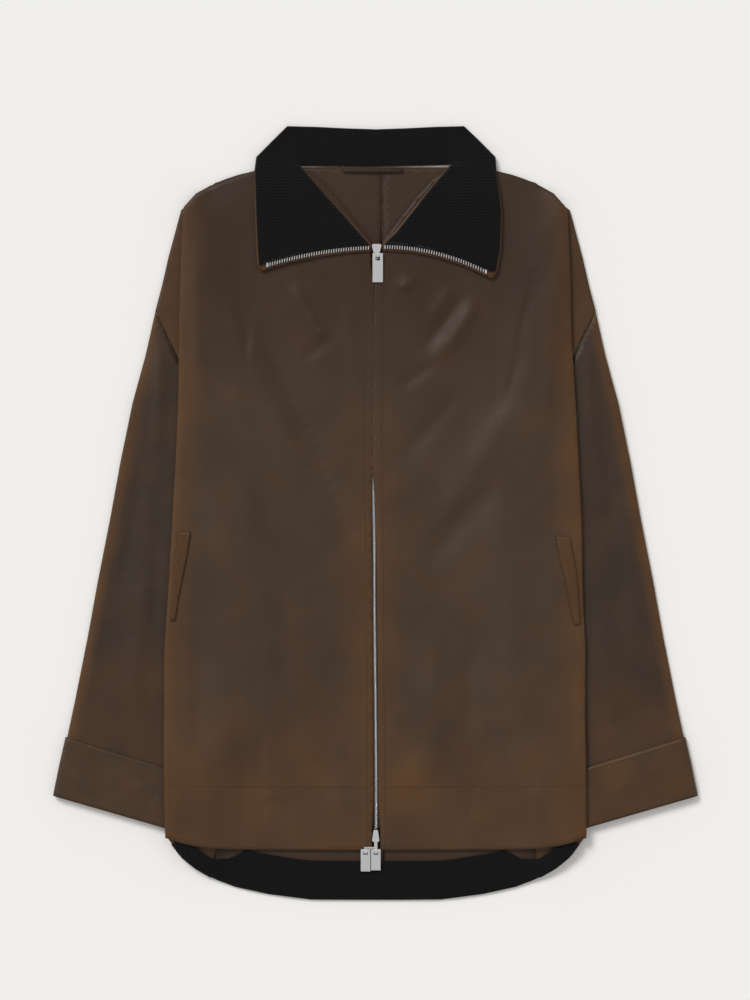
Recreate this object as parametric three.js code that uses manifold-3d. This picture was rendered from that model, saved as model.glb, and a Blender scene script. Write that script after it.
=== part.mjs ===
// A waxed gabardine jacket with a corduroy collar, laid flat on its back with its sleeves under its sides.
// +X is the wearer's left, +Y points to the collar, +Z points up from the surface it lies on. Millimetres.
import * as THREE from "three";
import { mergeVertices } from "three/addons/utils/BufferGeometryUtils.js";
import Module from "manifold-3d";

// ---------------------------------------------------------------- driving dimensions
const CLOTH = 1.5; // waxed gabardine wall
const CORDUROY = 1.4; // corduroy wall
const TAPE = 1; // zip tape wall
const LAYER_GAP = 0.4; // clearance between one lying layer and the next
const SEAM_GAP = 0.4; // clearance between two pieces that are sewn edge to edge
const FRONT_REST = 4; // underside of a front panel in the middle of the body
const SHOULDER_REST = 1.9; // underside of a front panel along the shoulder seam
const FOLD_GAP = 2.8; // space inside the rolled side fold
const SLEEVE_HEIGHT = 5; // a flattened sleeve, both walls and the air between
const CUFF_PROUD = 1.9; // how far the turned-back cuff stands off the sleeve, each side
const UNDERARM_Y = 40;
const SHOULDER_TOP_Y = 333; // where the side fold runs out into the shoulder seam
const HEM_CORNER_Y = -356.5; // front hem at the side fold
const CENTRE_BACK_X = 7.8;
const NECK = { x: 81, y: 380 }; // where the shoulder seam meets the neck
const HEM_FACING = { depth: 43, cornerDepth: 20, cornerFrom: 150, cornerLength: 34 };

// The two sides: the wearer's right lies at −X.
const SIDES = [
  { name: "right", sign: -1 },
  { name: "left", sign: 1 },
];

// Side fold of the body, half-width by height on each side.
const SIDE_FOLD = [
  { y: -356.5, right: 230.5, left: 231.5 },
  { y: -300, right: 232.2, left: 231.5 },
  { y: -225, right: 232.3, left: 230 },
  { y: -150, right: 232, left: 230.8 },
  { y: -90, right: 227.8, left: 227.6 },
  { y: -20, right: 224, left: 226.8 },
  { y: 50, right: 220, left: 223.6 },
  { y: 130, right: 216.6, left: 219.5 },
  { y: 200, right: 215.8, left: 215.2 },
  { y: 270, right: 214.3, left: 214 },
  { y: 333, right: 212, left: 210.5 },
];

// Centre line of the closed zip, and how far the front edges stand from it.
const ZIP_LINE = [
  { y: -370, x: 0.8 },
  { y: -316, x: 0.7 },
  { y: -52, x: -1.2 },
  { y: 64, x: -2.9 },
  { y: 245, x: -0.8 },
  { y: 271, x: 1.3 },
  { y: 296, x: 1.3 },
];
const FRONT_EDGE = [
  { y: -371, gap: 4.6 },
  { y: -345, gap: 4.6 },
  { y: -316, gap: 2.5 },
  { y: -10, gap: 2.4 },
  { y: 35, gap: 0.5 },
  { y: 244, gap: 0.5 },
  { y: 270, gap: 5.8 },
  { y: 296, gap: 6.2 },
];

// Top edge of a front panel: up the neck opening, then out along the shoulder seam.
const FRONT_TOP = [
  { x: 4, y: 295 },
  { x: 78, y: 377 },
  { x: 90, y: 380 },
  { x: 133, y: 376 },
  { x: 165, y: 367 },
  { x: 184, y: 358.5 },
  { x: 197, y: 350.8 },
  { x: 205, y: 342 },
  { x: 212, y: 333 },
];

// Bottom edges: the straight front hem, which lifts at the corner, and the curved tail of the back.
const FRONT_HEM = [
  { x: 0, y: -370.5 },
  { x: 150, y: -369.5 },
  { x: 192, y: -366 },
  { x: 216, y: -361 },
  { x: 229, y: -356.5 },
];
const BACK_HEM = [
  { x: 0, y: -425.5 },
  { x: 66, y: -425.2 },
  { x: 112, y: -420 },
  { x: 153, y: -411.5 },
  { x: 188, y: -397.5 },
  { x: 217, y: -374.5 },
  { x: 229, y: -356.5 },
];

// Shoulder silhouette outside the side fold, down to the armhole seam.
const SHOULDER_EDGE = [
  { y: 221, x: 242 },
  { y: 256, x: 233 },
  { y: 287, x: 226 },
  { y: 320, x: 216.8 },
  { y: 333, x: 213.5 },
];
const ARMHOLE = { outX: 242, outY: 221, inX: 150, inY: UNDERARM_Y };

// Sleeve sections from the armhole seam to the cuff: outer and inner edge of the flattened tube.
const SLEEVE = [
  { outX: 242, outY: 221, inX: 150, inY: 40 },
  { outX: 253, outY: 172, inX: 146, inY: 0 },
  { outX: 267, outY: 121, inX: 143, inY: -40 },
  { outX: 280, outY: 58, inX: 142, inY: -85 },
  { outX: 292, outY: -8, inX: 144, inY: -130 },
  { outX: 305, outY: -74, inX: 149, inY: -175 },
  { outX: 317, outY: -140, inX: 157, inY: -215 },
  { outX: 330, outY: -205, inX: 168, inY: -255 },
];
const CUFF = [
  { outX: 340.5, outY: -246, inX: 178, inY: -296 },
  { outX: 347.5, outY: -277, inX: 187, inY: -326 },
  { outX: 354.3, outY: -310.3, inX: 196, inY: -356 },
];

// Inner edge of the sleeve by height, which the side seam follows just inboard, down to the hem.
const SLEEVE_INNER = [
  { y: -398, x: 191 },
  { y: -356, x: 196 },
  { y: -296, x: 178 },
  { y: -255, x: 168 },
  { y: -215, x: 157 },
  { y: -175, x: 149 },
  { y: -130, x: 144 },
  { y: -85, x: 142 },
  { y: -40, x: 143 },
  { y: 0, x: 146 },
  { y: 40, x: 150 },
];

// The largest folds: a soft trough or ridge along a curve through three points, on one piece.
const FOLDS = [
  { on: "front_right", ax: 163, ay: 333, bx: 152, by: 292, cx: 138, cy: 250, half: 12, rise: -1.1 },
  { on: "front_right", ax: 182, ay: 179, bx: 150, by: 70, cx: 105, cy: -30, half: 15, rise: -1.3 },
  { on: "front_right", ax: 143, ay: 234, bx: 84, by: 112, cx: 16, cy: -46, half: 13, rise: -1.2 },
  { on: "front_right", ax: 94, ay: 252, bx: 70, by: 208, cx: 56, cy: 186, half: 9, rise: 2.6 },
  { on: "front_right", ax: 168, ay: 262, bx: 118, by: 120, cx: 66, cy: 0, half: 18, rise: 2.4 },
  { on: "front_right", ax: 122, ay: -70, bx: 108, by: -180, cx: 120, cy: -320, half: 20, rise: 1.8 },
  { on: "front_right", ax: 60, ay: -130, bx: 48, by: -230, cx: 56, cy: -330, half: 18, rise: -0.9 },
  { on: "front_left", ax: 106, ay: 249, bx: 80, by: 214, cx: 51, cy: 179, half: 10, rise: -1.3 },
  { on: "front_left", ax: 112, ay: 234, bx: 90, by: 196, cx: 56, cy: 160, half: 10, rise: 2.2 },
  { on: "front_left", ax: 181, ay: 278, bx: 148, by: 165, cx: 123, cy: 58, half: 17, rise: -1.2 },
  { on: "front_left", ax: 98, ay: 141, bx: 62, by: 97, cx: 27, cy: 58, half: 12, rise: -1.1 },
  { on: "front_left", ax: 137, ay: 36, bx: 88, by: -12, cx: 43, cy: -68, half: 16, rise: -1.2 },
  { on: "front_left", ax: 126, ay: -96, bx: 92, by: -178, cx: 104, cy: -261, half: 14, rise: -1.1 },
  { on: "front_left", ax: 150, ay: 130, bx: 112, by: 50, cx: 70, cy: -20, half: 17, rise: 2.2 },
  { on: "front_left", ax: 60, ay: -110, bx: 66, by: -210, cx: 56, cy: -320, half: 18, rise: 1.7 },
  { on: "front_left", ax: 36, ay: 270, bx: 38, by: 256, cx: 28, cy: 236, half: 9, rise: 2.2 },
  { on: "sleeve_right", ax: 238, ay: 196, bx: 236, by: 130, cx: 241, cy: 60, half: 8, rise: 1.4 },
  { on: "sleeve_right", ax: 256, ay: 70, bx: 268, by: -20, cx: 284, cy: -110, half: 9, rise: -0.8 },
  { on: "sleeve_left", ax: 236, ay: 190, bx: 234, by: 130, cx: 240, cy: 70, half: 8, rise: 1.3 },
  { on: "sleeve_left", ax: 251, ay: 105, bx: 256, by: 40, cx: 262, cy: -30, half: 9, rise: -0.8 },
];

// Collar sections from the zip round to the centre back: neck seam, outer edge, and the height of each.
const COLLAR = {
  right: [
    { seamX: 4.6, seamY: 286.8, edgeX: 125.5, edgeY: 265.5, seamZ: 6, edgeZ: 8 },
    { seamX: 4.6, seamY: 296, edgeX: 129.8, edgeY: 271, seamZ: 6, edgeZ: 8 },
    { seamX: 16, seamY: 308.5, edgeX: 131, edgeY: 290, seamZ: 6, edgeZ: 8 },
    { seamX: 30, seamY: 324, edgeX: 131.8, edgeY: 312, seamZ: 6, edgeZ: 8 },
    { seamX: 45, seamY: 340.5, edgeX: 132.3, edgeY: 333, seamZ: 6, edgeZ: 8 },
    { seamX: 61, seamY: 358, edgeX: 132.8, edgeY: 355, seamZ: 6, edgeZ: 7 },
    { seamX: 79, seamY: 378.5, edgeX: 133, edgeY: 375, seamZ: 4.4, edgeZ: 5.2 },
    { seamX: 82.5, seamY: 381.4, edgeX: 131, edgeY: 391, seamZ: 2.6, edgeZ: 3 },
    { seamX: 81, seamY: 381.4, edgeX: 114, edgeY: 408.5, seamZ: 1, edgeZ: 1 },
    { seamX: 76, seamY: 381.2, edgeX: 97, edgeY: 425.4, seamZ: 0, edgeZ: 0 },
    { seamX: 55, seamY: 380.8, edgeX: 66, edgeY: 424.6, seamZ: 0, edgeZ: 0 },
    { seamX: 30, seamY: 380.6, edgeX: 33, edgeY: 423, seamZ: 0, edgeZ: 0 },
  ],
  left: [
    { seamX: 7.2, seamY: 287.6, edgeX: 128, edgeY: 256.8, seamZ: 6, edgeZ: 8 },
    { seamX: 7.4, seamY: 296, edgeX: 134, edgeY: 264, seamZ: 6, edgeZ: 8 },
    { seamX: 21, seamY: 309, edgeX: 138.4, edgeY: 290, seamZ: 6, edgeZ: 8 },
    { seamX: 34, seamY: 325.2, edgeX: 139, edgeY: 312, seamZ: 6, edgeZ: 8 },
    { seamX: 47.5, seamY: 342, edgeX: 139, edgeY: 333, seamZ: 6, edgeZ: 8 },
    { seamX: 62, seamY: 359.5, edgeX: 136.2, edgeY: 355, seamZ: 6, edgeZ: 7 },
    { seamX: 80, seamY: 380, edgeX: 133, edgeY: 376, seamZ: 4.4, edgeZ: 5.2 },
    { seamX: 83.5, seamY: 383.4, edgeX: 132, edgeY: 391, seamZ: 2.6, edgeZ: 3 },
    { seamX: 82, seamY: 383, edgeX: 114, edgeY: 409.6, seamZ: 1, edgeZ: 1 },
    { seamX: 77, seamY: 382.4, edgeX: 97.4, edgeY: 425.4, seamZ: 0, edgeZ: 0 },
    { seamX: 55, seamY: 381.6, edgeX: 66, edgeY: 424.6, seamZ: 0, edgeZ: 0 },
    { seamX: 30, seamY: 381, edgeX: 33, edgeY: 423, seamZ: 0, edgeZ: 0 },
  ],
  centre: { seamX: 0.6, seamY: 380.6, edgeX: 0.6, edgeY: 421.9, seamZ: 0, edgeZ: 0 },
};
// How far the zipped edge of each collar leaf bows up between its ends, and how far round that fades out.
const LEAF_BOW = { right: 4.4, left: 8.2, sections: 4 };
const ZIP_EDGE_INSET = { teethFrom: 2, teethTo: 6.2, facing: 7 }; // measured up from the leaf's zipped edge

// Side pocket welts: the mouth is the outer line, the stitched line the inner one.
const POCKET_WELT = {
  right: [
    { y: -21, outer: 215.5, inner: 203 },
    { y: -45, outer: 218.8, inner: 206.5 },
    { y: -69, outer: 220.8, inner: 211.5 },
    { y: -92, outer: 222.6, inner: 216.2 },
    { y: -118, outer: 225, inner: 220 },
  ],
  left: [
    { y: -26, outer: 213, inner: 198 },
    { y: -45, outer: 216.7, inner: 201 },
    { y: -64, outer: 220, inner: 206 },
    { y: -84, outer: 222, inner: 210.5 },
    { y: -104, outer: 222.8, inner: 214.6 },
    { y: -122, outer: 224, inner: 218 },
  ],
};
const WELT_WALL = 1.2;

const HANGER = { fromX: -35, toX: 30, bottomY: 374, topY: 378.6, bow: 1.4, wall: 1 };

const ZIP = {
  chainHalf: 1.9,
  chainHeight: 1.7,
  tapeInner: 2.3,
  tapeOuter: 15.5,
  topY: 284.9,
  bottomY: -347.2,
  teethHeight: 1.8,
  stop: { width: 2, length: 4.4, height: 2.4 },
};

// Sliders stand on the zip line; a pull's bar turns inside the slider's hook.
const HOOK = { inner: 2.2, outer: 3.4, width: 3.4, toDegrees: 210 };
const PULL_BAR = 3.4; // height of the bar above a pull's window
const PULL_WALL = 1.4;
const PULL_EDGE = 0.2; // bevel of a pull's edges
const TOP_SLIDER = { x: 1.3, lowY: 285.4, highY: 295.3, lowHalf: 3.6, highHalf: 5.3 };
const BOTTOM_SLIDER = { x: 0.3, lowY: -361, highY: -347.8, lowHalf: 4, highHalf: 2.4 };
const SLIDER_Z = { bottom: 2, lowerPlate: 3.2, upperPlate: 5.2, top: 6.6, bridge: 8.7 };
const PULLS = {
  pull_top: { x: 2.5, y: 283.5, z: 8, width: 11.5, length: 32, window: 4.6, tiltDegrees: 2.5 },
  pull_bottom_front: { x: 0.4, y: -370.4, z: 8, width: 10.6, length: 23.8, window: 2.7, tiltDegrees: 6 },
  pull_bottom_back: { x: -10.9, y: -370.4, z: 8, width: 10.6, length: 25, window: 2.7, tiltDegrees: 6 },
};

// ---------------------------------------------------------------- cloth and metal finishes
const FINISH = {
  gabardine: { color: 0x4f3d2e, roughness: 0.55, metalness: 0 },
  corduroy: { color: 0x0a0a0d, roughness: 0.9, metalness: 0 },
  tape: { color: 0x3a2a1e, roughness: 0.8, metalness: 0 },
  metal: { color: 0xd4d5d8, roughness: 0.22, metalness: 1 },
};

// ---------------------------------------------------------------- small functions
const lerp = THREE.MathUtils.lerp;
const clamp = THREE.MathUtils.clamp;
const smooth = (t) => THREE.MathUtils.smoothstep(t, 0, 1);
const spaced = (from, to, cells) =>
  Array.from({ length: cells + 1 }, (_, k) => lerp(from, to, k / cells));

// A smooth value from one column of a table, read along another column, with no overshoot, held at the ends.
function along(table, key, place, column) {
  const last = table.length - 1;
  if (place <= table[0][key]) return table[0][column];
  if (place >= table[last][key]) return table[last][column];
  const next = table.findIndex((row) => row[key] > place);
  const here = next - 1;
  const secant = (k) =>
    (table[k + 1][column] - table[k][column]) / (table[k + 1][key] - table[k][key]);
  const slope = (k) => {
    const [before, after] = [secant(Math.max(k - 1, 0)), secant(Math.min(k, last - 1))];
    return before * after <= 0 ? 0 : (2 * before * after) / (before + after);
  };
  const span = table[next][key] - table[here][key];
  const t = (place - table[here][key]) / span;
  const rise = table[next][column] - table[here][column];
  const bendIn = slope(here) * span - rise;
  const bendOut = rise - slope(next) * span;
  return table[here][column] + rise * t + t * (1 - t) * (bendIn * (1 - t) + bendOut * t);
}

// One closed geometry from points and triangles, turned so that its faces point out.
function closedGeometry(points, triangles) {
  const [a, b, c] = [new THREE.Vector3(), new THREE.Vector3(), new THREE.Vector3()];
  const volume = triangles.reduce((sum, [i, j, k]) => {
    a.copy(points[i]);
    b.copy(points[j]);
    c.copy(points[k]);
    return sum + a.dot(b.cross(c));
  }, 0);
  const index = triangles.flatMap(([i, j, k]) => (volume < 0 ? [i, k, j] : [i, j, k]));
  const geometry = new THREE.BufferGeometry();
  geometry.setAttribute(
    "position",
    new THREE.Float32BufferAttribute(points.flatMap((p) => [p.x, p.y, p.z]), 3),
  );
  geometry.setIndex(index);
  geometry.computeVertexNormals();
  return geometry;
}

// The two triangles of a grid cell, split the same way on every lying layer.
const cellTriangles = (p, q, r, s) => [
  [p, q, r],
  [p, r, s],
];

// A cloth wall over the cells of a grid: an upper and a lower face, closed by a rim round the edge.
function wall(upper, lower, has = () => true) {
  const rows = upper.length;
  const points = [];
  const number = (grid) =>
    grid.map((row) =>
      row.map((p) => {
        points.push(p);
        return points.length - 1;
      }),
    );
  const top = number(upper);
  const bottom = number(lower);
  const triangles = [];
  const rim = (i, j, k, l) =>
    triangles.push(...cellTriangles(top[i][j], bottom[i][j], bottom[k][l], top[k][l]));
  const cell = (i, j) => i >= 0 && i < rows - 1 && j >= 0 && j < upper[i].length - 1 && has(i, j);
  for (let i = 0; i < rows - 1; i++) {
    for (let j = 0; j < upper[i].length - 1; j++) {
      if (!cell(i, j)) continue;
      triangles.push(...cellTriangles(top[i][j], top[i][j + 1], top[i + 1][j + 1], top[i + 1][j]));
      triangles.push(
        ...cellTriangles(bottom[i][j], bottom[i][j + 1], bottom[i + 1][j + 1], bottom[i + 1][j])
          .map(([a, b, c]) => [a, c, b]),
      );
      if (!cell(i - 1, j)) rim(i, j, i, j + 1);
      if (!cell(i + 1, j)) rim(i + 1, j + 1, i + 1, j);
      if (!cell(i, j - 1)) rim(i + 1, j, i, j);
      if (!cell(i, j + 1)) rim(i, j + 1, i + 1, j + 1);
    }
  }
  const used = new Set(triangles.flat());
  const kept = [...used].sort((a, b) => a - b);
  const renumbered = new Map(kept.map((old, k) => [old, k]));
  return closedGeometry(
    kept.map((k) => points[k]),
    triangles.map((t) => t.map((k) => renumbered.get(k))),
  );
}

// A wall that lies level: the grid of its underside, and the same grid one thickness higher.
function lyingWall(lower, thickness) {
  const raised = lower.map((row) => row.map((p) => p.clone().setZ(p.z + thickness)));
  return wall(raised, lower);
}

// A tube wall through rings that each have the same number of points outside and inside.
function tubeWall(rings) {
  const count = rings[0].outer.length;
  const points = rings.flatMap((ring) => [...ring.outer, ...ring.inner]);
  const outer = (i, j) => i * 2 * count + (j % count);
  const inner = (i, j) => outer(i, j) + count;
  const triangles = [];
  for (let i = 0; i < rings.length - 1; i++) {
    for (let j = 0; j < count; j++) {
      triangles.push(
        ...cellTriangles(outer(i, j), outer(i, j + 1), outer(i + 1, j + 1), outer(i + 1, j)),
        ...cellTriangles(inner(i, j), inner(i + 1, j), inner(i + 1, j + 1), inner(i, j + 1)),
      );
    }
  }
  const end = rings.length - 1;
  for (let j = 0; j < count; j++) {
    triangles.push(
      ...cellTriangles(outer(0, j), inner(0, j), inner(0, j + 1), outer(0, j + 1)),
      ...cellTriangles(outer(end, j), outer(end, j + 1), inner(end, j + 1), inner(end, j)),
    );
  }
  return closedGeometry(points, triangles);
}

// Height of a faceted sheet straight above or below a place, or nothing where it doesn't reach.
function heightOn(triangles, x, y) {
  for (const [a, b, c] of triangles) {
    const area = (b.x - a.x) * (c.y - a.y) - (c.x - a.x) * (b.y - a.y);
    const u = ((b.x - x) * (c.y - y) - (c.x - x) * (b.y - y)) / area;
    const v = ((c.x - x) * (a.y - y) - (a.x - x) * (c.y - y)) / area;
    const w = 1 - u - v;
    if (Math.min(u, v, w) > -1e-6) return u * a.z + v * b.z + w * c.z;
  }
  return undefined;
}

function gridTriangles(grid, fromColumn, toColumn) {
  const found = [];
  for (let i = 0; i < grid.length - 1; i++) {
    for (let j = fromColumn; j < toColumn; j++) {
      const corners = [grid[i][j], grid[i][j + 1], grid[i + 1][j + 1], grid[i + 1][j]];
      found.push([corners[0], corners[1], corners[2]], [corners[0], corners[2], corners[3]]);
    }
  }
  return found;
}

// Rise or fall of a piece's folds at a place on it.
const FOLD_STEPS = 8;
const FOLD_FADE = 0.28; // share of a fold's length over which each end dies away
function foldRelief(piece, x, y) {
  const reach = Math.abs(x);
  return FOLDS.filter((fold) => fold.on === piece).reduce((sum, fold) => {
    let nearest = Infinity;
    let place = 0;
    for (let k = 0; k <= FOLD_STEPS; k++) {
      const t = k / FOLD_STEPS;
      const px = lerp(lerp(fold.ax, fold.bx, t), lerp(fold.bx, fold.cx, t), t);
      const py = lerp(lerp(fold.ay, fold.by, t), lerp(fold.by, fold.cy, t), t);
      const distance = Math.hypot(px - reach, py - y);
      if (distance < nearest) {
        nearest = distance;
        place = t;
      }
    }
    const ends = smooth(place / FOLD_FADE) * smooth((1 - place) / FOLD_FADE);
    return sum + fold.rise * ends * Math.exp(-((nearest / fold.half) ** 2));
  }, 0);
}

// ---------------------------------------------------------------- heights of the lying layers
const CUFF_HEIGHT = SLEEVE_HEIGHT + 2 * CUFF_PROUD;
const CUFF_RAMP = { from: -200, length: 60 }; // where the layers above climb from the sleeve to the cuff
const TAIL_DROP = { from: -361, length: 34, depth: 6 }; // below the cuff they sink again
const SHOULDER_DROP = 38; // how far from the shoulder seam a front starts to sink to it
const FRONT_RAMP = { outside: 12, length: 67 }; // how a front climbs over the hidden edge of the sleeve
const PLEAT_TOP = { from: 230, length: 95, lower: 1.7 }; // the pleat thins towards the shoulder

const sleeveInner = (y) => along(SLEEVE_INNER, "y", y, "x");
const FOLD_B = { low: 141, high: 205.5 }; // innermost line of the shoulder pleat, at underarm and shoulder
const pleatInner = (y) =>
  lerp(FOLD_B.low, FOLD_B.high, clamp((y - UNDERARM_Y) / (SHOULDER_TOP_Y - UNDERARM_Y), 0, 1));
const hiddenEdge = (y) => (y < UNDERARM_Y ? sleeveInner(y) : pleatInner(y));
const zipX = (y) => along(ZIP_LINE, "y", y, "x");

// Underside of the part of a front that is turned under at the side.
function turnLower(y) {
  const climb = (CUFF_HEIGHT - SLEEVE_HEIGHT) * smooth((CUFF_RAMP.from - y) / CUFF_RAMP.length);
  const sink = TAIL_DROP.depth * smooth((TAIL_DROP.from - y) / TAIL_DROP.length);
  const thin = PLEAT_TOP.lower * smooth((y - PLEAT_TOP.from) / PLEAT_TOP.length);
  return SLEEVE_HEIGHT + 0.5 + climb - sink - thin;
}

// Underside of the shoulder cap, the part of a front that comes out again from the pleat.
const CAP = { atArmhole: 3.4, inside: 2.2, edgeWidth: 12, armholeWidth: 30 };
function armholeX(y) {
  const t = (y - ARMHOLE.inY) / (ARMHOLE.outY - ARMHOLE.inY);
  return lerp(ARMHOLE.inX, ARMHOLE.outX, t);
}
const capEdge = (y) => (y < ARMHOLE.outY ? armholeX(y) - SEAM_GAP : along(SHOULDER_EDGE, "y", y, "x"));
function capLower(reach, y) {
  const slope = new THREE.Vector2(ARMHOLE.outX - ARMHOLE.inX, ARMHOLE.outY - ARMHOLE.inY).normalize();
  const above = (y - ARMHOLE.inY) * slope.x - (reach - ARMHOLE.inX) * slope.y;
  const body = lerp(CAP.atArmhole, CAP.inside, smooth(above / CAP.armholeWidth));
  const edge = smooth((reach - (capEdge(y) - CAP.edgeWidth)) / CAP.edgeWidth);
  return y > ARMHOLE.outY ? lerp(body, SHOULDER_REST, edge) : body;
}

// Underside of a front panel where it lies on top.
function frontLower(piece, x, y) {
  const reach = Math.abs(x);
  const inner = hiddenEdge(y);
  const overTurn = turnLower(Math.max(y, HEM_CORNER_Y)) + CLOTH + FOLD_GAP;
  const ramp = smooth((inner + FRONT_RAMP.outside - reach) / FRONT_RAMP.length);
  const open = lerp(overTurn, FRONT_REST, ramp) + foldRelief(piece, x, y);
  const nearShoulder = 1 - smooth((along(FRONT_TOP, "x", reach, "y") - y) / SHOULDER_DROP);
  const offNeck = smooth((reach - 55) / 26);
  const sunk = lerp(open, SHOULDER_REST, nearShoulder * offNeck);
  const onPleat = smooth((reach - (inner - 22)) / 20);
  return Math.max(sunk, lerp(sunk, overTurn, onPleat));
}

// ---------------------------------------------------------------- front panels
const FRONT_ROWS = [
  -356.5, -330, -300, -262, -225, -188, -150, -112, -75, -38, 0, UNDERARM_Y, 75, 110, 145, 180, 221,
  250, 280, 308, SHOULDER_TOP_Y,
];
const FRONT_COLUMNS = [0, 0.05, 0.12, 0.2, 0.285, 0.37, 0.455, 0.54, 0.625, 0.71, 0.79, 0.87, 0.94, 1];
const FOLD_ANGLES = [30, -30, -90]; // the roll of the side fold after its top line
const PLEAT_ANGLES = [150, 210, 270]; // the roll of the pleat after its top line
const TURN_CELLS = 3;
const CAP_CELLS = 3;
const LAP = { start: 2, reach: 15, lower: 1.9 }; // the turned side laps over the back at the side seam
const LAST_ROLL = FRONT_COLUMNS.length - 1 + FOLD_ANGLES.length;
const LAST_TURN = LAST_ROLL + TURN_CELLS;
const UNDERARM_ROW = FRONT_ROWS.indexOf(UNDERARM_Y);

// The middle surface of one row of a front: across the body, round the side fold, under, and out to the cap.
function frontRow(side, piece, y) {
  const v = (y - HEM_CORNER_Y) / (SHOULDER_TOP_Y - HEM_CORNER_Y);
  const half = CLOTH / 2;
  const fold = along(SIDE_FOLD, "y", y, side.name);
  const foldTop = turnLower(y) + CLOTH + FOLD_GAP + half;
  const turn = turnLower(y) + half;
  const roll = (foldTop - turn) / 2;
  const rollX = fold - half - roll;
  const row = FRONT_COLUMNS.map((u) => {
    const topReach = lerp(7.4, 209, u);
    const rowY = lerp(along(FRONT_HEM, "x", u * 229, "y"), along(FRONT_TOP, "x", topReach, "y"), v);
    const inner = zipX(rowY) + side.sign * along(FRONT_EDGE, "y", rowY, "gap");
    const x = lerp(inner, side.sign * rollX, u);
    const z = u === 1 ? foldTop : frontLower(piece, x, rowY) + half;
    return new THREE.Vector3(x, rowY, z);
  });
  for (const angle of FOLD_ANGLES) {
    const a = THREE.MathUtils.degToRad(angle);
    row.push(new THREE.Vector3(side.sign * (rollX + roll * Math.cos(a)), y, turn + roll + roll * Math.sin(a)));
  }
  if (y < UNDERARM_Y) {
    const edge = sleeveInner(y);
    const reaches = [lerp(rollX, edge + LAP.start, 0.5), edge + LAP.start, edge - LAP.reach];
    const nearHem = 1 - smooth((y - HEM_CORNER_Y) / 130);
    reaches.forEach((reach, k) => {
      const drop = (along(BACK_HEM, "x", reach, "y") - HEM_CORNER_Y) * nearHem ** 2;
      const hemY = y + drop;
      const z = k === 2 ? LAP.lower : turnLower(hemY);
      row.push(new THREE.Vector3(side.sign * reach, hemY, z + half));
    });
    return row;
  }
  const cap = capLower(pleatInner(y), y) + half;
  const pleat = (turn - cap) / 2;
  const pleatX = pleatInner(y) + half + pleat;
  spaced(rollX, pleatX, TURN_CELLS).slice(1).forEach((reach) => {
    row.push(new THREE.Vector3(side.sign * reach, y, turn));
  });
  for (const angle of PLEAT_ANGLES) {
    const a = THREE.MathUtils.degToRad(angle);
    row.push(new THREE.Vector3(side.sign * (pleatX + pleat * Math.cos(a)), y, cap + pleat + pleat * Math.sin(a)));
  }
  spaced(pleatX, capEdge(y), CAP_CELLS).slice(1).forEach((reach) => {
    row.push(new THREE.Vector3(side.sign * reach, y, capLower(reach, y) + half));
  });
  return row;
}

// A row's points moved square off its section, by half the cloth to one side.
function offsetRow(row, sign, distance) {
  const normals = row.slice(1).map((p, k) => {
    const dx = p.x - row[k].x;
    const dz = p.z - row[k].z;
    return new THREE.Vector2(-dz, dx).normalize().multiplyScalar(sign);
  });
  return row.map((p, k) => {
    const before = normals[Math.max(k - 1, 0)];
    const after = normals[Math.min(k, normals.length - 1)];
    const sum = before.clone().add(after);
    const scale = (2 * distance) / sum.lengthSq();
    return new THREE.Vector3(p.x + sum.x * scale, p.y, p.z + sum.y * scale);
  });
}

function frontPanel(side) {
  const piece = `front_${side.name}`;
  const rows = FRONT_ROWS.map((y) => frontRow(side, piece, y));
  const outer = rows.map((row) => offsetRow(row, side.sign, CLOTH / 2));
  const inner = rows.map((row) => offsetRow(row, side.sign, -CLOTH / 2));
  const width = Math.max(...rows.map((row) => row.length));
  const padded = (grid) =>
    grid.map((row) => [...row, ...Array(width - row.length).fill(row[row.length - 1])]);
  return {
    geometry: wall(padded(outer), padded(inner), (i, j) => i >= UNDERARM_ROW || j < LAST_TURN),
    top: gridTriangles(outer, 0, FRONT_COLUMNS.length - 1),
    turned: gridTriangles(inner, LAST_ROLL, LAST_TURN),
  };
}

// ---------------------------------------------------------------- back panels
const BACK_ROWS = [
  -397.5, -356, -296, -255, -215, -175, -130, -85, -40, 0, UNDERARM_Y, 100, 160, 221, 256, 287, 320,
  SHOULDER_TOP_Y,
];
const BACK_COLUMNS_AT_TOP = [45, NECK.x, 133, 175, 212];
const BACK_SEAM_INSET = 3; // the back's side edge lies this far inboard of the sleeve

function backEdge(y) {
  if (y >= ARMHOLE.outY) return along(SHOULDER_EDGE, "y", y, "x");
  return y >= UNDERARM_Y ? armholeX(y) - SEAM_GAP : sleeveInner(y) - BACK_SEAM_INSET;
}

function backTop(reach) {
  return reach <= NECK.x ? NECK.y : along(FRONT_TOP, "x", reach, "y");
}

function backPanel(side) {
  const seamX = CENTRE_BACK_X + (side.sign * SEAM_GAP) / 2;
  const topEdge = side.sign * BACK_COLUMNS_AT_TOP.at(-1);
  const shares = [seamX, ...BACK_COLUMNS_AT_TOP.map((reach) => side.sign * reach)]
    .map((x) => (x - seamX) / (topEdge - seamX));
  const bottomY = BACK_ROWS[0];
  const lower = BACK_ROWS.map((y) => {
    const v = (y - bottomY) / (SHOULDER_TOP_Y - bottomY);
    const edge = side.sign * backEdge(y);
    return shares.map((u) => {
      const low = along(BACK_HEM, "x", Math.abs(lerp(seamX, side.sign * backEdge(bottomY), u)), "y");
      const high = backTop(Math.abs(lerp(seamX, topEdge, u)));
      return new THREE.Vector3(lerp(seamX, edge, u), lerp(low, high, v), 0);
    });
  });
  return lyingWall(lower, CLOTH);
}

// ---------------------------------------------------------------- sleeves and cuffs
const RING = { bottomCells: 4, topCells: 7, cornerAngles: [45, 90, 135] };

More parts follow.
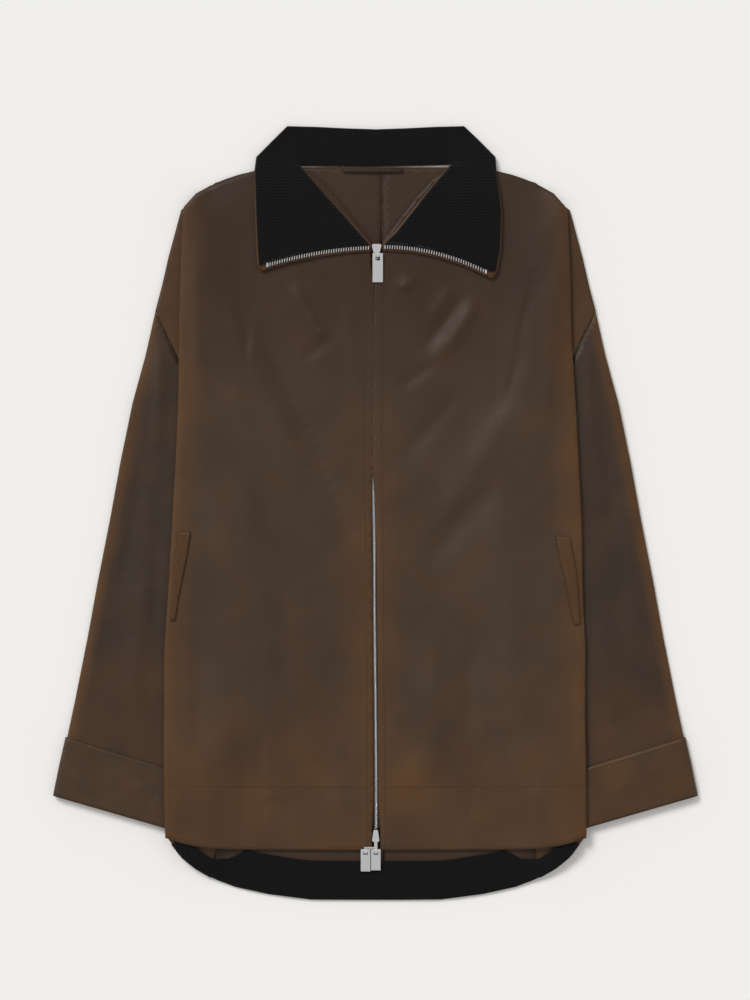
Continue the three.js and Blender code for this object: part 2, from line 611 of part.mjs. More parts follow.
// One ring of a flattened tube: a flat underside, a top that may carry folds, and half-round edges.
function flatRing(row, sign, base, height, inset, relief) {
  const out = new THREE.Vector2(row.outX, row.outY);
  const across = new THREE.Vector2(row.inX, row.inY).sub(out);
  const width = across.length();
  across.normalize();
  const radius = height / 2 - inset;
  const from = height / 2;
  const to = width - height / 2;
  const middle = base + height / 2;
  const flat = [
    ...spaced(from, to, RING.bottomCells).map((a) => [a, -radius, 0]),
    ...RING.cornerAngles.map((angle) => {
      const t = THREE.MathUtils.degToRad(angle);
      return [to + radius * Math.sin(t), -radius * Math.cos(t), 0];
    }),
    ...spaced(to, from, RING.topCells).map((a, k) => [a, radius, k > 0 && k < RING.topCells ? 1 : 0]),
    ...RING.cornerAngles.map((angle) => {
      const t = THREE.MathUtils.degToRad(angle);
      return [from - radius * Math.sin(t), radius * Math.cos(t), 0];
    }),
  ];
  return flat.map(([a, z, folded]) => {
    const x = out.x + across.x * a;
    const y = out.y + across.y * a;
    return new THREE.Vector3(sign * x, y, middle + z + folded * relief(x, y));
  });
}

const CUFF_CLEAR = CLOTH + LAYER_GAP; // a sleeve's end keeps this far inside the cuff's outline
function insideCuff(row) {
  const out = new THREE.Vector2(row.outX, row.outY);
  const inn = new THREE.Vector2(row.inX, row.inY);
  const step = inn.clone().sub(out).normalize().multiplyScalar(CUFF_CLEAR);
  return { outX: out.x + step.x, outY: out.y + step.y, inX: inn.x - step.x, inY: inn.y - step.y };
}

function sleeve(side) {
  const piece = `sleeve_${side.name}`;
  const uncovered = (x, y) => (x > along(SIDE_FOLD, "y", y, side.name) + 4 ? foldRelief(piece, x, y) : 0);
  const start = SLEEVE[0];
  const axis = new THREE.Vector2(SLEEVE[1].outX - start.outX, SLEEVE[1].outY - start.outY).normalize();
  const first = {
    outX: start.outX + axis.x * SEAM_GAP,
    outY: start.outY + axis.y * SEAM_GAP,
    inX: start.inX + axis.x * SEAM_GAP,
    inY: start.inY + axis.y * SEAM_GAP,
  };
  const rows = [
    ...[first, ...SLEEVE.slice(1)].map((row) => ({ row, base: 0 })),
    ...CUFF.map((row) => ({ row: insideCuff(row), base: CUFF_PROUD })),
  ];
  return tubeWall(
    rows.map(({ row, base }, k) => {
      const relief = k > 0 && base === 0 ? uncovered : () => 0;
      return {
        outer: flatRing(row, side.sign, base, SLEEVE_HEIGHT, 0, relief),
        inner: flatRing(row, side.sign, base, SLEEVE_HEIGHT, CLOTH, relief),
      };
    }),
  );
}

function cuff(side) {
  return tubeWall(
    CUFF.map((row) => ({
      outer: flatRing(row, side.sign, 0, CUFF_HEIGHT, 0, () => 0),
      inner: flatRing(row, side.sign, 0, CUFF_HEIGHT, CLOTH, () => 0),
    })),
  );
}

// ---------------------------------------------------------------- collar
const COLLAR_SECTIONS = [
  ...COLLAR.right.map((row, k) => ({ ...row, sign: -1, bow: bowShare(k) * LEAF_BOW.right })),
  { ...COLLAR.centre, sign: 1, bow: 0 },
  ...COLLAR.left.map((row, k) => ({ ...row, sign: 1, bow: bowShare(k) * LEAF_BOW.left })).reverse(),
];
function bowShare(section) {
  return Math.max(0, 1 - section / LEAF_BOW.sections);
}

// A place on the collar: a section, and the share of the way from its neck seam to its outer edge.
function collarPoint(section, v, up = 0, lift = 0) {
  return new THREE.Vector3(
    section.sign * lerp(section.seamX, section.edgeX, v),
    lerp(section.seamY, section.edgeY, v) + section.bow * 4 * v * (1 - v) + up,
    lerp(section.seamZ, section.edgeZ, v) + lift,
  );
}

const COLLAR_CELLS = 4;
function collarShell() {
  const shares = spaced(0, 1, COLLAR_CELLS);
  return lyingWall(COLLAR_SECTIONS.map((section) => shares.map((v) => collarPoint(section, v))), CLOTH);
}

// The corduroy stops short of the shell's edge, and of the teeth along the two zipped edges.
const FACING_SHARE = { from: 0.025, to: 0.982 };
const FACING_GAP = 0.9;
function collarFacing() {
  const shares = spaced(FACING_SHARE.from, FACING_SHARE.to, COLLAR_CELLS);
  const last = COLLAR_SECTIONS.length - 1;
  const lift = CLOTH + FACING_GAP;
  return lyingWall(
    COLLAR_SECTIONS.map((section, k) =>
      shares.map((v) => collarPoint(section, v, k === 0 || k === last ? ZIP_EDGE_INSET.facing : 0, lift)),
    ),
    CORDUROY,
  );
}

// ---------------------------------------------------------------- open zip on the collar leaves
const TEETH_CELLS = 9;
const TEETH_SHARE = { from: 0.016, to: 0.93 };
const zippedSection = (side) => (side.sign < 0 ? COLLAR_SECTIONS[0] : COLLAR_SECTIONS.at(-1));

function teethStrip(side) {
  const lift = CLOTH + LAYER_GAP;
  const section = zippedSection(side);
  const lower = spaced(TEETH_SHARE.from, TEETH_SHARE.to, TEETH_CELLS).map((v) => [
    collarPoint(section, v, ZIP_EDGE_INSET.teethFrom, lift),
    collarPoint(section, v, ZIP_EDGE_INSET.teethTo, lift),
  ]);
  return lyingWall(lower, ZIP.teethHeight);
}

function endStop(side) {
  const section = zippedSection(side);
  const { width, length, height } = ZIP.stop;
  const middleUp = (ZIP_EDGE_INSET.teethFrom + ZIP_EDGE_INSET.teethTo) / 2;
  const share = TEETH_SHARE.to + (width / 2 + SEAM_GAP) / (section.edgeX - section.seamX);
  const place = collarPoint(section, share, middleUp, CLOTH + 2 * LAYER_GAP + height / 2);
  const geometry = new THREE.BoxGeometry(width, length, height);
  return geometry.translate(place.x, place.y, place.z);
}

// ---------------------------------------------------------------- closed zip down the centre front
const ZIP_CELLS = 13;
function zipStrip(fromX, toX, base, thickness) {
  const lower = spaced(ZIP.bottomY, ZIP.topY, ZIP_CELLS).map((y) => [
    new THREE.Vector3(zipX(y) + fromX, y, base),
    new THREE.Vector3(zipX(y) + toX, y, base),
  ]);
  return lyingWall(lower, thickness);
}
const ZIP_BASE = CLOTH + LAYER_GAP;

// ---------------------------------------------------------------- pieces that lie on the panels
function pocketWelt(side, front) {
  const lower = POCKET_WELT[side.name].map((row) =>
    [row.inner, (row.inner + row.outer) / 2, row.outer].map((reach) => {
      const x = side.sign * reach;
      return new THREE.Vector3(x, row.y, heightOn(front.top, x, row.y) + LAYER_GAP);
    }),
  );
  return lyingWall(lower, WELT_WALL);
}

const FACING_REACHES = [0, 33, 66, 90, 112, 133, 153, 171, 188, 203, 216, 224.5];
const FACING_ROWS = 4;
const FACING_EDGE = 0.8; // the cloth's edge shows by this much below the facing
const FACING_SPREAD = [-7, 0, 7]; // the facing clears what lies under it for this far round each point

// Highest point of the turned-under sides, or of the back panel, near a place.
function heightUnderFacing(turned, x, y) {
  const heights = FACING_SPREAD.flatMap((dx) =>
    FACING_SPREAD.map((dy) => heightOn(turned, x + dx, y + dy) ?? CLOTH),
  );
  return Math.max(...heights, CLOTH);
}

function hemFacing(fronts) {
  const reaches = [...FACING_REACHES.slice(1).reverse().map((reach) => -reach), ...FACING_REACHES];
  const turned = [...fronts.right.turned, ...fronts.left.turned];
  const lower = reaches.map((x) => {
    const reach = Math.abs(x);
    const step = 2;
    const rise = along(BACK_HEM, "x", reach + step, "y") - along(BACK_HEM, "x", Math.max(reach - step, 0), "y");
    const run = reach + step - Math.max(reach - step, 0);
    const inward = new THREE.Vector2(-rise * Math.sign(x), run).normalize();
    const corner = smooth((reach - HEM_FACING.cornerFrom) / HEM_FACING.cornerLength);
    const full = lerp(HEM_FACING.depth, HEM_FACING.cornerDepth, corner);
    return spaced(FACING_EDGE, full, FACING_ROWS).map((depth) => {
      const px = x + inward.x * depth;
      const py = along(BACK_HEM, "x", reach, "y") + inward.y * depth;
      return new THREE.Vector3(px, py, heightUnderFacing(turned, px, py) + LAYER_GAP);
    });
  });
  return lyingWall(lower, CORDUROY);
}

const HANGER_CELLS = 8;
function hangerLoop() {
  const lower = spaced(0, 1, HANGER_CELLS).map((t) => {
    const z = CLOTH + LAYER_GAP + HANGER.bow * 4 * t * (1 - t);
    const x = lerp(HANGER.fromX, HANGER.toX, t);
    return [new THREE.Vector3(x, HANGER.bottomY, z), new THREE.Vector3(x, HANGER.topY, z)];
  });
  return lyingWall(lower, HANGER.wall);
}

// ---------------------------------------------------------------- sliders and pulls
const wasm = await Module();
wasm.setup();

function toSolid(geometry) {
  const plain = geometry.clone();
  plain.deleteAttribute("normal");
  plain.deleteAttribute("uv");
  const merged = mergeVertices(plain.index ? plain : mergeVertices(plain));
  return new wasm.Manifold(
    new wasm.Mesh({
      numProp: 3,
      vertProperties: merged.attributes.position.array,
      triVerts: new Uint32Array(merged.index.array),
    }),
  );
}

function joined(geometries) {
  const mesh = geometries.map(toSolid).reduce((sum, solid) => sum.add(solid)).getMesh();
  const geometry = new THREE.BufferGeometry();
  geometry.setAttribute("position", new THREE.BufferAttribute(mesh.vertProperties, 3));
  geometry.setIndex(new THREE.BufferAttribute(mesh.triVerts, 1));
  geometry.computeVertexNormals();
  return geometry;
}

function block(fromX, toX, fromY, toY, fromZ, toZ) {
  const geometry = new THREE.BoxGeometry(toX - fromX, toY - fromY, toZ - fromZ);
  return geometry.translate((fromX + toX) / 2, (fromY + toY) / 2, (fromZ + toZ) / 2);
}

// A slider plate: a shield outline, wide at one end, with its corners cut.
function sliderPlate(slider, fromZ, toZ) {
  const { x, lowY, highY, lowHalf, highHalf } = slider;
  const cut = 1.2;
  const shape = new THREE.Shape();
  shape.moveTo(x - lowHalf + cut, lowY);
  shape.lineTo(x + lowHalf - cut, lowY);
  shape.lineTo(x + lowHalf, lowY + cut);
  shape.lineTo(x + highHalf, highY - cut);
  shape.lineTo(x + highHalf - cut, highY);
  shape.lineTo(x - highHalf + cut, highY);
  shape.lineTo(x - highHalf, highY - cut);
  shape.lineTo(x - lowHalf, lowY + cut);
  const geometry = new THREE.ExtrudeGeometry(shape, { depth: toZ - fromZ, bevelEnabled: false });
  return geometry.translate(0, 0, fromZ);
}

// The hook that a pull's bar turns in: part of a ring about the bar, open at its lower side.
function hook(pull) {
  const end = THREE.MathUtils.degToRad(HOOK.toDegrees);
  const shape = new THREE.Shape();
  shape.absarc(0, 0, HOOK.outer, 0, end, false);
  shape.absarc(0, 0, HOOK.inner, end, 0, true);
  const geometry = new THREE.ExtrudeGeometry(shape, {
    depth: HOOK.width,
    bevelEnabled: false,
    curveSegments: 10,
  });
  const turned = new THREE.Matrix4().makeBasis(
    new THREE.Vector3(0, 1, 0),
    new THREE.Vector3(0, 0, 1),
    new THREE.Vector3(1, 0, 0),
  );
  return geometry.applyMatrix4(turned).translate(pull.x - HOOK.width / 2, pull.y, pull.z);
}

function sliderBody(slider) {
  const { bottom, lowerPlate, upperPlate, top } = SLIDER_Z;
  const core = Math.min(slider.lowHalf, slider.highHalf) - 1;
  return [
    sliderPlate(slider, bottom, lowerPlate),
    sliderPlate(slider, upperPlate, top),
    block(slider.x - core, slider.x + core, slider.lowY + 1, slider.highY - 1, bottom + 0.5, top - 0.5),
  ];
}

const HOOK_ROOT = 0.6; // how far a hook's foot runs up over the slider's upper plate
function topSlider() {
  const pull = PULLS.pull_top;
  const half = HOOK.width / 2;
  const root = pull.y + HOOK.inner + HOOK_ROOT;
  return joined([
    ...sliderBody(TOP_SLIDER),
    block(pull.x - half, pull.x + half, pull.y + HOOK.inner, root + 3, SLIDER_Z.top - 0.5, SLIDER_Z.bridge),
    hook(pull),
  ]);
}

function bottomSlider() {
  const half = HOOK.width / 2;
  const front = PULLS.pull_bottom_front;
  const back = PULLS.pull_bottom_back;
  const barFrom = front.y + HOOK.inner;
  const barTo = front.y + HOOK.outer + HOOK_ROOT;
  const low = SLIDER_Z.bridge - 1.6;
  return joined([
    ...sliderBody(BOTTOM_SLIDER),
    block(front.x - half, front.x + half, barFrom, BOTTOM_SLIDER.lowY + 3, low, SLIDER_Z.bridge),
    block(
      front.x - half,
      front.x + half,
      BOTTOM_SLIDER.lowY + 0.4,
      BOTTOM_SLIDER.lowY + 3,
      SLIDER_Z.top - 0.5,
      SLIDER_Z.bridge,
    ),
    block(back.x - half, front.x + half, barFrom, barTo, low, SLIDER_Z.bridge),
    hook(front),
    hook(back),
  ]);
}

// A plain flat pull with a square window under its bar; its own origin is the middle of the bar.
function pullTab(pull) {
  const half = pull.width / 2 - PULL_EDGE;
  const top = PULL_BAR / 2 - PULL_EDGE;
  const foot = PULL_BAR / 2 - pull.length + PULL_EDGE;
  const shape = new THREE.Shape();
  shape.moveTo(-half, foot);
  shape.lineTo(half, foot);
  shape.lineTo(half, top);
  shape.lineTo(-half, top);
  const windowHalf = 2.3 + PULL_EDGE;
  const windowTop = -PULL_BAR / 2 + PULL_EDGE;
  const windowFoot = -PULL_BAR / 2 - pull.window - PULL_EDGE;
  const hole = new THREE.Path();
  hole.moveTo(-windowHalf, windowFoot);
  hole.lineTo(-windowHalf, windowTop);
  hole.lineTo(windowHalf, windowTop);
  hole.lineTo(windowHalf, windowFoot);
  shape.holes.push(hole);
  const geometry = new THREE.ExtrudeGeometry(shape, {
    depth: PULL_WALL - 2 * PULL_EDGE,
    bevelThickness: PULL_EDGE,
    bevelSize: PULL_EDGE,
    bevelSegments: 1,
  });
  return geometry.translate(0, 0, PULL_EDGE - PULL_WALL / 2);
}

// ---------------------------------------------------------------- assembly
const jacket = new THREE.Group();
function add(name, finish, geometry) {
  const mesh = new THREE.Mesh(geometry, new THREE.MeshStandardMaterial(FINISH[finish]));
  mesh.name = name;
  jacket.add(mesh);
  return mesh;
}

const fronts = {};
for (const side of SIDES) {
  const front = frontPanel(side);
  fronts[side.name] = front;
  const inner = side.sign * ZIP.tapeInner;
  const outer = side.sign * ZIP.tapeOuter;
  add(`front_${side.name}`, "gabardine", front.geometry);
  add(`back_${side.name}`, "gabardine", backPanel(side));
  add(`sleeve_${side.name}`, "gabardine", sleeve(side));
  add(`cuff_${side.name}`, "gabardine", cuff(side));
  add(`pocket_welt_${side.name}`, "gabardine", pocketWelt(side, front));
  add(`zip_tape_${side.name}`, "tape", zipStrip(inner, outer, ZIP_BASE, TAPE));
  add(`zip_teeth_${side.name}`, "metal", teethStrip(side));
  add(`zip_stop_${side.name}`, "metal", endStop(side));
}
add("collar_shell", "gabardine", collarShell());
add("collar_facing", "corduroy", collarFacing());
add("hem_facing", "corduroy", hemFacing(fronts));
add("hanger_loop", "gabardine", hangerLoop());
add("zip_chain", "metal", zipStrip(-ZIP.chainHalf, ZIP.chainHalf, ZIP_BASE, ZIP.chainHeight));
add("slider_top", "metal", topSlider());
add("slider_bottom", "metal", bottomSlider());
for (const [name, pull] of Object.entries(PULLS)) {
  const mesh = add(name, "metal", pullTab(pull));
  mesh.position.set(pull.x, pull.y, pull.z);
  mesh.rotation.x = THREE.MathUtils.degToRad(pull.tiltDegrees);
}

// The origin stands at the middle of the jacket's footprint, on the surface it lies on.
const box = new THREE.Box3().setFromObject(jacket);
const middle = box.getCenter(new THREE.Vector3());
jacket.position.set(-middle.x, -middle.y, -box.min.z);

export default jacket;
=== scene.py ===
import math

import bmesh
import bpy
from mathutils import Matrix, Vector, noise
from mathutils.bvhtree import BVHTree


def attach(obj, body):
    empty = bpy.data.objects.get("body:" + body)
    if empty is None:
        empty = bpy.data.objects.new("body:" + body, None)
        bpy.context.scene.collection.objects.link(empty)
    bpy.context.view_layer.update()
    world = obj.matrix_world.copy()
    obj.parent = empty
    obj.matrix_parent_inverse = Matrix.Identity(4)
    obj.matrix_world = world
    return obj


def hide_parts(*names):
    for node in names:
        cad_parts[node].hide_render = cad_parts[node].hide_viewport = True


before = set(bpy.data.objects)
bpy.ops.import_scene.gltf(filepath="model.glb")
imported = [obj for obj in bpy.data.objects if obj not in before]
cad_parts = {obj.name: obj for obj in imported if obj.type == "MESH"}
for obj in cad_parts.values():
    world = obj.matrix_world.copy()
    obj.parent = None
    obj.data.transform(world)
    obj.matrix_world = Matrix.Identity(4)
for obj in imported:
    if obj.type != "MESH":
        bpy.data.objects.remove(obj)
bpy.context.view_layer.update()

MM = 0.001
BODY = "jacket"

# The camera looks straight down on the jacket. The surface it lies on is a pale board, lit by one
# broad lamp from the upper left and an even pale surround.
VIEW_WIDTH = 0.825
VIEW_HEIGHT = VIEW_WIDTH * 1000 / 750
CAMERA_DISTANCE = 3.2
SENSOR = 24
camera_data = bpy.data.cameras.new("camera")
camera_data.sensor_fit = "VERTICAL"
camera_data.sensor_height = SENSOR
camera_data.lens = SENSOR * CAMERA_DISTANCE / VIEW_HEIGHT
camera = bpy.data.objects.new("camera", camera_data)
camera.location = (-0.0005, 0.0143, CAMERA_DISTANCE)
bpy.context.collection.objects.link(camera)
bpy.context.scene.camera = camera
bpy.context.scene.view_settings.view_transform = "Standard"

sun_data = bpy.data.lights.new("broad_lamp", "SUN")
sun_data.energy = 1.75
sun_data.angle = math.radians(22)
sun = bpy.data.objects.new("broad_lamp", sun_data)
sun.rotation_euler = (math.radians(-36), math.radians(-34), 0)
bpy.context.collection.objects.link(sun)

world = bpy.data.worlds.new("studio")
world.use_nodes = True
world.node_tree.nodes["Background"].inputs["Color"].default_value = (1, 0.995, 0.985, 1)
world.node_tree.nodes["Background"].inputs["Strength"].default_value = 0.56
bpy.context.scene.world = world

bpy.ops.object.select_all(action="DESELECT")
bpy.ops.mesh.primitive_plane_add(size=8, location=(0, 0, -0.0004))
board = bpy.context.object
board.name = "board"
bpy.ops.object.transform_apply(location=True, rotation=True, scale=True)
board_material = bpy.data.materials.new("pale_board")
board_material.use_nodes = True
board_shader = board_material.node_tree.nodes["Principled BSDF"]
board_shader.inputs["Base Color"].default_value = (0.93, 0.92, 0.90, 1)
board_shader.inputs["Roughness"].default_value = 0.9
board_shader.inputs["Specular IOR Level"].default_value = 0.1
board.data.materials.append(board_material)

# ---------------------------------------------------------------------------------------------
# Front panels, wearer's right (at -X) and left: waxed gabardine, each rolled round the side fold
# and turned under. The middles are grey-brown and the edges orange-brown: wax wear beside the zip,
# and along the side folds partly wax wear and partly a painted highlight where the cloth rolls over.
GREY_BROWN = Vector((0.052, 0.0290, 0.0150))
ORANGE_BROWN = Vector((0.088, 0.0375, 0.0095))
DEEP_BROWN = Vector((0.034, 0.0150, 0.0050))


def step(t):
    t = min(max(t, 0.0), 1.0)
    return t * t * (3 - 2 * t)


def wax_cloth(name, weave=0.35, crumple=0.5):
    """Waxed cotton: a fine diagonal twill, faint crumpling, and patches where the wax has dried pale."""
    material = bpy.data.materials.new(name)
    material.use_nodes = True
    nodes = material.node_tree.nodes
    links = material.node_tree.links
    shader = nodes["Principled BSDF"]
    place = nodes.new("ShaderNodeTexCoord").outputs["Object"]
    colour = nodes.new("ShaderNodeAttribute")
    colour.attribute_name = "wax"

    def clouds(scale, detail):
        node = nodes.new("ShaderNodeTexNoise")
        node.inputs["Scale"].default_value = scale
        node.inputs["Detail"].default_value = detail
        links.new(place, node.inputs["Vector"])
        return node.outputs["Fac"]

    def ranged(source, low, high, start=0.3, end=0.7):
        node = nodes.new("ShaderNodeMapRange")
        node.inputs["From Min"].default_value = start
        node.inputs["From Max"].default_value = end
        node.inputs["To Min"].default_value = low
        node.inputs["To Max"].default_value = high
        links.new(source, node.inputs["Value"])
        return node.outputs["Result"]

    shade = nodes.new("ShaderNodeVectorMath")
    shade.operation = "SCALE"
    links.new(colour.outputs["Color"], shade.inputs[0])
    links.new(ranged(clouds(14, 6), 0.86, 1.12), shade.inputs["Scale"])
    links.new(shade.outputs["Vector"], shader.inputs["Base Color"])
    links.new(ranged(clouds(32, 5), 0.42, 0.62), shader.inputs["Roughness"])
    shader.inputs["Specular IOR Level"].default_value = 0.3
    shader.inputs["Sheen Weight"].default_value = 0.03
    shader.inputs["Sheen Roughness"].default_value = 0.45

    twill = nodes.new("ShaderNodeTexWave")
    twill.bands_direction = "DIAGONAL"
    twill.inputs["Scale"].default_value = 620
    twill.inputs["Distortion"].default_value = 0.4
    links.new(place, twill.inputs["Vector"])
    weave_bump = nodes.new("ShaderNodeBump")
    weave_bump.inputs["Strength"].default_value = weave
    weave_bump.inputs["Distance"].default_value = 0.00012
    links.new(twill.outputs["Fac"], weave_bump.inputs["Height"])
    crumple_bump = nodes.new("ShaderNodeBump")
    crumple_bump.inputs["Strength"].default_value = crumple
    crumple_bump.inputs["Distance"].default_value = 0.0016
    links.new(clouds(26, 4), crumple_bump.inputs["Height"])
    links.new(weave_bump.outputs["Normal"], crumple_bump.inputs["Normal"])
    links.new(crumple_bump.outputs["Normal"], shader.inputs["Normal"])
    return material


gabardine = wax_cloth("waxed_gabardine")


def crease_height(creases, x, y):
    """Sum of soft creases, each a bent line (start, middle, end, half width, rise) in millimetres."""
    total = 0.0
    for ax, ay, bx, by, cx, cy, half, rise in creases:
        if not (min(ax, bx, cx) - 3 * half < x < max(ax, bx, cx) + 3 * half):
            continue
        if not (min(ay, by, cy) - 3 * half < y < max(ay, by, cy) + 3 * half):
            continue
        nearest, share = 1e9, 0.0
        steps = 24
        for k in range(steps + 1):
            t = k / steps
            px = (1 - t) ** 2 * ax + 2 * t * (1 - t) * bx + t * t * cx
            py = (1 - t) ** 2 * ay + 2 * t * (1 - t) * by + t * t * cy
            distance = (px - x) ** 2 + (py - y) ** 2
            if distance < nearest:
                nearest, share = distance, t
        ends = step(share / 0.25) * step((1 - share) / 0.25)
        total += rise * ends * math.exp(-nearest / (half * half))
    return total


def cloth_piece(node, cell, colour, lift=None, smoothing=6, material=gabardine,
                slide=None):
    """A thin shell on its solid's form: finer facets, soft curves across them, then its creases."""
    mesh = bpy.data.objects[node].data.copy()
    mesh.name = node + "_cloth"
    mesh.materials.clear()
    bm = bmesh.new()
    bm.from_mesh(mesh)
    bmesh.ops.remove_doubles(bm, verts=bm.verts, dist=2e-6)
    for _ in range(6):
        long_edges = [e for e in bm.edges if e.calc_length() > cell]
        if not long_edges:
            break
        bmesh.ops.subdivide_edges(bm, edges=long_edges, cuts=1)
        bmesh.ops.triangulate(bm, faces=[f for f in bm.faces if len(f.verts) > 3])
    for _ in range(smoothing):
        bmesh.ops.smooth_vert(bm, verts=bm.verts, factor=0.5, use_axis_z=True)
    for vert in bm.verts:
        x, y, z = vert.co / MM
        if slide:
            vert.co.x += slide(x, y, z) * MM
        if lift:
            vert.co.z += lift(x, y, z) * MM
    bm.to_mesh(mesh)
    bm.free()
    tint = mesh.color_attributes.new("wax", "FLOAT_COLOR", "POINT")
    for vert in mesh.vertices:
        x, y, z = vert.co / MM
        r, g, b = colour(x, y, z)
        tint.data[vert.index].color = (r, g, b, 1)
    mesh.materials.append(material)
    mesh.polygons.foreach_set("use_smooth", [True] * len(mesh.polygons))
    piece = bpy.data.objects.new(node + "_cloth", mesh)
    bpy.context.collection.objects.link(piece)
    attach(piece, BODY)
    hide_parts(node)
    return piece


def blotch(x, y, size):
    return noise.noise(Vector((x / size, y / size, 3.7)))


def body_colour(x, y, z):
    reach = abs(x)
    fold = 231 if y < -100 else 231 - (y + 100) * 0.045
    # Orange-brown along the side folds: partly wax wear, partly a painted highlight where the cloth rolls
    # over the fold.
    side = step(1 - (fold - reach) / 42)
    # Lighter and more orange towards the hem.
    low = 0.85 * step((-170 - y + 40 * blotch(x, y, 70)) / 130)
    zip_side = 0.75 * math.exp(-((x + 6) / 30) ** 2) * step((170 - y) / 220)
    orange_share = max(side, low * (0.6 + 0.4 * blotch(x + 90, y, 45) + 0.1), zip_side)
    # Darker towards the collar.
    deep = 0.85 * step((y - 90) / 190) * (1 - 0.5 * side)
    base = GREY_BROWN.lerp(ORANGE_BROWN, min(1, max(0, orange_share + 0.25 * blotch(x, y, 30))))
    return base.lerp(DEEP_BROWN, deep)


CREASES = {
    "front_right": [
        (-163, 333, -152, 292, -138, 250, 9, -1.6), (-182, 179, -150, 70, -105, -30, 12, -1.8),
        (-143, 234, -84, 112, -16, -46, 10, -1.7), (-94, 256, -70, 210, -53, 188, 5, 3.0),
        (-168, 262, -118, 120, -66, 0, 16, 2.6), (-122, -70, -108, -180, -120, -320, 18, 2.2),
        (-60, -130, -48, -230, -56, -330, 16, -1.2), (-200, 300, -196, 200, -190, 90, 9, 1.6),
        (-83, 170, -62, 178, -50, 196, 6, -1.4), (-190, 60, -160, -40, -150, -150, 14, 1.6),
        (-30, 240, -26, 180, -20, 110, 8, 1.0), (-196, -120, -190, -200, -196, -300, 10, -1.0),
        (-80, -60, -90, -150, -80, -260, 12, 1.2), (-150, -312, -120, -308, -90, -312, 5, 0.8),
    ],
    "front_left": [
        (106, 249, 80, 214, 51, 179, 6, -2.0), (114, 236, 92, 196, 56, 160, 8, 2.6),
        (71, 168, 46, 152, 21, 135, 6, -1.5), (181, 278, 148, 165, 123, 58, 14, -1.8),
        (98, 141, 62, 97, 27, 58, 9, -1.6), (137, 36, 88, -12, 43, -68, 13, -1.8),
        (126, -96, 92, -178, 104, -261, 11, -1.6), (150, 130, 112, 50, 70, -20, 15, 2.6),
        (60, -110, 66, -210, 56, -320, 16, 2.2), (36, 274, 40, 258, 28, 240, 7, 2.4),
        (109, -290, 107, -316, 104, -342, 6, -1.2), (200, 290, 194, 190, 186, 90, 9, 1.6),
        (160, -30, 150, -130, 158, -240, 14, 1.5), (84, 250, 72, 226, 58, 214, 6, 1.6),
        (176, -300, 172, -320, 176, -345, 6, 0.9), (140, -306, 124, -300, 100, -306, 5, 0.9),
    ],
}


FRONT_LOW = 4.0  # underside of a front in the middle of the body
TURNED_RISE = 3.7  # how far it climbs over its own turned-under part
CUFF_RISE = 3.7  # and over the cuff below that


def front_lift(side):
    """Only the layer that lies on top is creased; what is turned under stays where it is."""
    def lift(x, y, z):
        reach = abs(x)
        turned = TURNED_RISE * step((reach - 124) / 20)
        high = FRONT_LOW + turned + CUFF_RISE * step((-205 - y) / 55)
        top = step((z - high) / 1.6) if reach > 122 else 1.0
        under_collar = step((262 - y) / 14) if reach < 142 else step((400 - y) / 60)
        near_zip = step((reach - 4) / 14)
        ripple = 0.35 * blotch(x, y, 26) + 0.5 * blotch(y, x, 60)
        hem = 1 - 0.6 * step((-335 - y) / 20)
        return top * (crease_height(CREASES[side], x, y) + ripple * near_zip) * under_collar * hem
    return lift


ZIP_LINE = [(-370, 0.8), (-316, 0.7), (-52, -1.2), (64, -2.9), (245, -0.8), (271, 1.3), (296, 1.3)]


def zip_x(y):
    for (y0, x0), (y1, x1) in zip(ZIP_LINE, ZIP_LINE[1:]):
        if y0 <= y <= y1:
            return x0 + (x1 - x0) * step((y - y0) / (y1 - y0))
    return ZIP_LINE[0][1] if y < ZIP_LINE[0][0] else ZIP_LINE[-1][1]


def close_lip(side):
    """The front edges close over the teeth from the chest to the waist, and part below it.

    They overlap there, by up to about 4 mm, where the real edges only meet.
    """
    hand = 1 if side == "front_right" else -1

    def slide(x, y, z):
        line = zip_x(y)
        near = step(1 - (abs(x - line) - 3) / 14)
        along = step((y - 22) / 50) * step((268 - y) / 16)
        return hand * 2.0 * near * along
    return slide


fronts = {}
for side in ("front_right", "front_left"):
    fronts[side] = cloth_piece(side, 0.007, body_colour, front_lift(side), slide=close_lip(side))

# ---------------------------------------------------------------------------------------------
# Back panels: the same gabardine, flat on the board and sewn down the middle. Their inner face
# shows in the neck opening and below the front hem.
INSIDE_BROWN = Vector((0.040, 0.0190, 0.0078))


def inside_colour(x, y, z):
    return INSIDE_BROWN * (1 + 0.12 * blotch(x, y, 40))


backs = {}
for side in ("back_right", "back_left"):
    backs[side] = cloth_piece(side, 0.012, inside_colour, smoothing=0)

# ---------------------------------------------------------------------------------------------
# Sleeves: flattened tubes of gabardine, with long soft folds where they leave the body.
SLEEVE_CREASES = {
    "sleeve_right": [
        (-238, 198, -236, 130, -241, 60, 6, 2.2), (-256, 70, -266, -20, -284, -110, 7, -1.2),
        (-250, -40, -258, -130, -270, -230, 10, 1.6), (-296, -60, -306, -130, -318, -215, 6, 0.9),
        (-236, 20, -242, -60, -246, -150, 6, -1.0), (-262, 150, -270, 110, -277, 60, 5, 0.8),
    ],
    "sleeve_left": [
        (234, 190, 232, 130, 240, 70, 6, 2.0), (251, 105, 256, 40, 262, -30, 7, -1.3),
        (272, 40, 282, -60, 290, -170, 8, 1.6), (246, -60, 252, -150, 262, -240, 8, 1.3),
        (300, -80, 312, -150, 322, -215, 6, -0.9), (262, 160, 268, 120, 276, 70, 5, 0.8),
    ],
}


